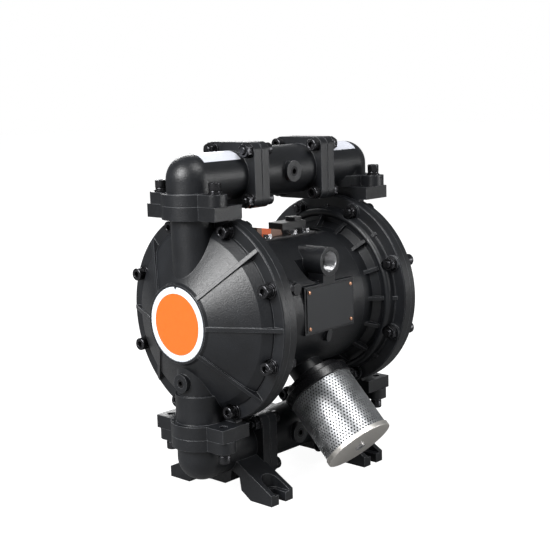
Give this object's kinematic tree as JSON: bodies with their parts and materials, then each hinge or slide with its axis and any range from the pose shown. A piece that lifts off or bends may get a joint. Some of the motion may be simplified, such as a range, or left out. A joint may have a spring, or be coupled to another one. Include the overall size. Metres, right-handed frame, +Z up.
{
  "type": "air operated diaphragm pump",
  "caption": "Air operated double diaphragm pump: ribbed cast chambers on a centre drum, pipe manifolds above and below, muffler in front, on cast feet.",
  "frame": {"origin": "on the floor, under the middle of the diaphragm rod", "axes": "+X along the rod, -Y towards the air inlet and the name plate, +Y out of the liquid ports, +Z up"},
  "size_m": [0.2956, 0.2439, 0.3607],
  "materials": {
    "cast_black": "satin",
    "black_oxide": "satin",
    "valve_black": "satin",
    "cover_brown": "satin",
    "zinc": "satin",
    "plastic_black": "satin",
    "badge_orange": "gloss",
    "plate_dark": "satin",
    "copper": "satin",
    "rubber": "matte",
    "ball_rubber": "satin",
    "seat_plastic": "matte",
    "gasket": "matte",
    "bright_steel": "polished",
    "plate_aluminium": "satin",
    "bronze": "satin"
  },
  "bodies": {
    "pump": {"air_cap_left": "cast_black", "air_cap_right": "cast_black", "air_cap_screws": "black_oxide", "badge_left": "badge_orange", "badge_right": "badge_orange", "center_body": "cast_black", "chamber_nuts_left": "black_oxide", "chamber_nuts_right": "black_oxide", "chamber_screws_left": "black_oxide", "chamber_screws_right": "black_oxide", "chamber_washers_left": "black_oxide", "chamber_washers_right": "black_oxide", "diaphragm_left": "rubber", "diaphragm_right": "rubber", "drain_plugs": "black_oxide", "fluid_cap_left": "cast_black", "fluid_cap_right": "cast_black", "inlet_ball_seat_left": "seat_plastic", "inlet_ball_seat_right": "seat_plastic", "inlet_column_screws": "black_oxide", "inlet_elbow_left": "cast_black", "inlet_elbow_right": "cast_black", "inlet_joint_nuts": "black_oxide", "inlet_joint_screws": "black_oxide", "inlet_tee": "cast_black", "joint_gaskets": "gasket", "muffler_bolt": "zinc", "muffler_cap": "plastic_black", "muffler_end_cap": "zinc", "muffler_screen": "zinc", "name_plate": "plate_dark", "name_plate_rivets": "copper", "outlet_ball_seat_left": "seat_plastic", "outlet_ball_seat_right": "seat_plastic", "outlet_column_screws": "black_oxide", "outlet_elbow_left": "cast_black", "outlet_elbow_right": "cast_black", "outlet_joint_nuts": "black_oxide", "outlet_joint_screws": "black_oxide", "outlet_tee": "cast_black", "pilot_valve_block": "valve_black", "rod_bushes": "bronze", "spool_bore_plugs": "bronze", "tee_plugs": "black_oxide", "valve_cover": "cover_brown", "valve_gasket": "gasket", "valve_screws": "zinc"},
    "rod": {"diaphragm_rod": "bright_steel", "inner_plate_left": "plate_aluminium", "inner_plate_right": "plate_aluminium", "outer_plate_left": "plate_aluminium", "outer_plate_right": "plate_aluminium"},
    "pilot": {"pilot_rod": "bright_steel"},
    "spool": {"valve_spool": "bright_steel"},
    "inlet_check_ball_left": {"inlet_ball_left": "ball_rubber"},
    "inlet_check_ball_right": {"inlet_ball_right": "ball_rubber"},
    "outlet_check_ball_left": {"outlet_ball_left": "ball_rubber"},
    "outlet_check_ball_right": {"outlet_ball_right": "ball_rubber"}
  },
  "joints": [
    {"name": "rod_slide", "type": "slide", "parent": "pump", "child": "rod", "axis": [1, 0, 0], "range_m": [-0.01, 0.01], "deforming": ["diaphragm_left", "diaphragm_right"]},
    {"name": "pilot_rod_slide", "type": "slide", "parent": "pump", "child": "pilot", "axis": [1, 0, 0], "range_m": [-0.004, 0.004]},
    {"name": "spool_slide", "type": "slide", "parent": "pump", "child": "spool", "axis": [1, 0, 0], "range_m": [-0.006, 0.006]},
    {"name": "inlet_ball_left_lift", "type": "slide", "parent": "pump", "child": "inlet_check_ball_left", "axis": [0, 0, 1], "range_m": [0, 0.01]},
    {"name": "inlet_ball_right_lift", "type": "slide", "parent": "pump", "child": "inlet_check_ball_right", "axis": [0, 0, 1], "range_m": [0, 0.01]},
    {"name": "outlet_ball_left_lift", "type": "slide", "parent": "pump", "child": "outlet_check_ball_left", "axis": [0, 0, 1], "range_m": [0, 0.01]},
    {"name": "outlet_ball_right_lift", "type": "slide", "parent": "pump", "child": "outlet_check_ball_right", "axis": [0, 0, 1], "range_m": [0, 0.01]}
  ],
  "couplings": [
    {"joint": "pilot_rod_slide", "follows": "rod_slide", "ratio": 0.4}
  ]
}
